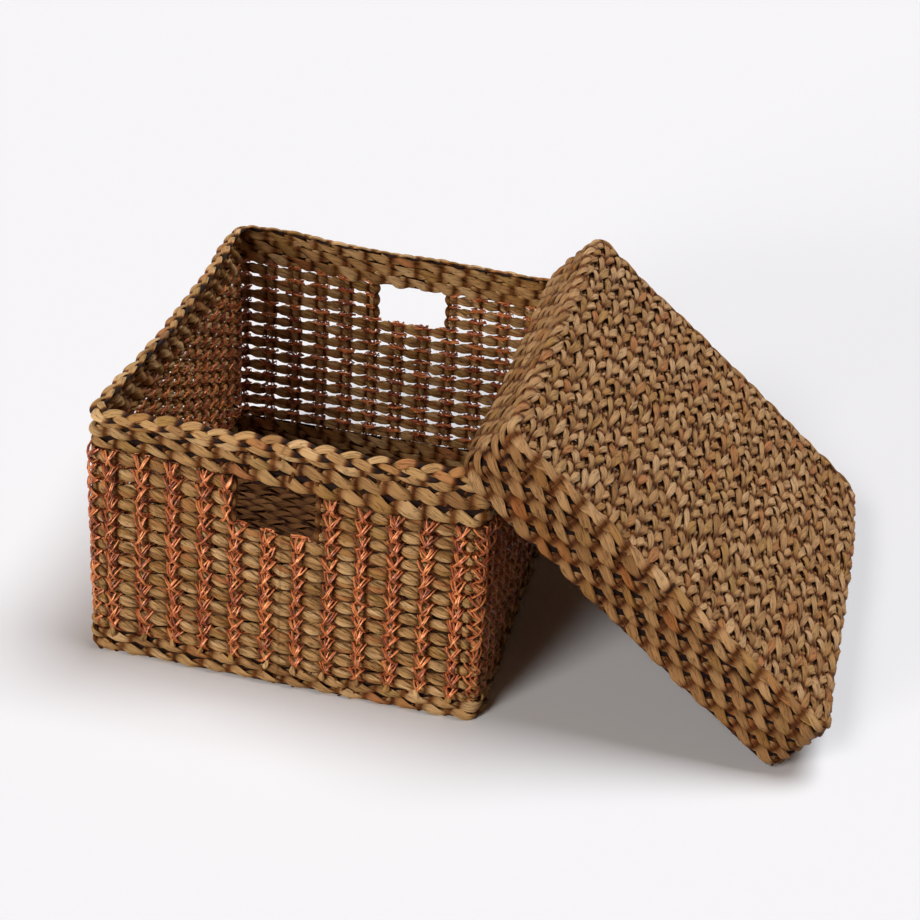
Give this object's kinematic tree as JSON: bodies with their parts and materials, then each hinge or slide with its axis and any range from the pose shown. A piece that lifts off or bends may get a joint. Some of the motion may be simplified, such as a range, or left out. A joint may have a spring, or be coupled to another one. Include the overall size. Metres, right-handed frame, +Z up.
{
  "type": "woven lidded box",
  "caption": "Rectangular hand-woven storage box of natural cord lashed with copper-coloured thread, with hand holes and a deep woven lid leaning on it.",
  "frame": {"origin": "middle of the box's underside, on the floor", "axes": "+X from the open box towards the leaning lid, +Y from the front wall to the back wall, both of which have a hand hole, and +Z up"},
  "size_m": [0.6671, 0.438, 0.292],
  "materials": {
    "straw_cord": "dry, matt twisted grass cord, straw to light brown",
    "copper_thread": "thin dyed thread with a soft sheen",
    "lid_weave": "dry, matt twined grass cord, light brown",
    "lid_cord": "dry, matt thick two-strand grass cord, golden brown"
  },
  "bodies": {
    "box": {"base_mat": "straw_cord", "foot_course_01": "straw_cord", "foot_course_02": "straw_cord", "wall_course_03": "straw_cord", "wall_course_04": "straw_cord", "wall_course_05": "straw_cord", "wall_course_06": "straw_cord", "wall_course_07": "straw_cord", "wall_course_08": "straw_cord", "wall_course_09": "straw_cord", "wall_course_10": "straw_cord", "wall_course_11": "straw_cord", "wall_course_12": "straw_cord", "wall_course_13_left": "straw_cord", "wall_course_13_right": "straw_cord", "wall_course_14_left": "straw_cord", "wall_course_14_right": "straw_cord", "wall_course_15_left": "straw_cord", "wall_course_15_right": "straw_cord", "rim_course_16": "straw_cord", "rim_course_17": "straw_cord", "rim_plait": "straw_cord", "lashing_front": "copper_thread", "lashing_back": "copper_thread", "lashing_left": "copper_thread", "lashing_right": "copper_thread", "corner_lashing_front_left": "copper_thread", "corner_lashing_front_right": "copper_thread", "corner_lashing_back_left": "copper_thread", "corner_lashing_back_right": "copper_thread"},
    "lid": {"lid_top_mat": "lid_weave", "lid_course_01": "lid_cord", "lid_course_02": "lid_cord", "lid_course_03": "lid_cord", "lid_course_04": "lid_cord", "lid_course_05": "lid_cord"}
  },
  "joints": [
    {"name": "lid_lift", "type": "slide", "parent": "box", "child": "lid", "axis": [0, 0, 1], "range_m": [0, 0.26]}
  ]
}
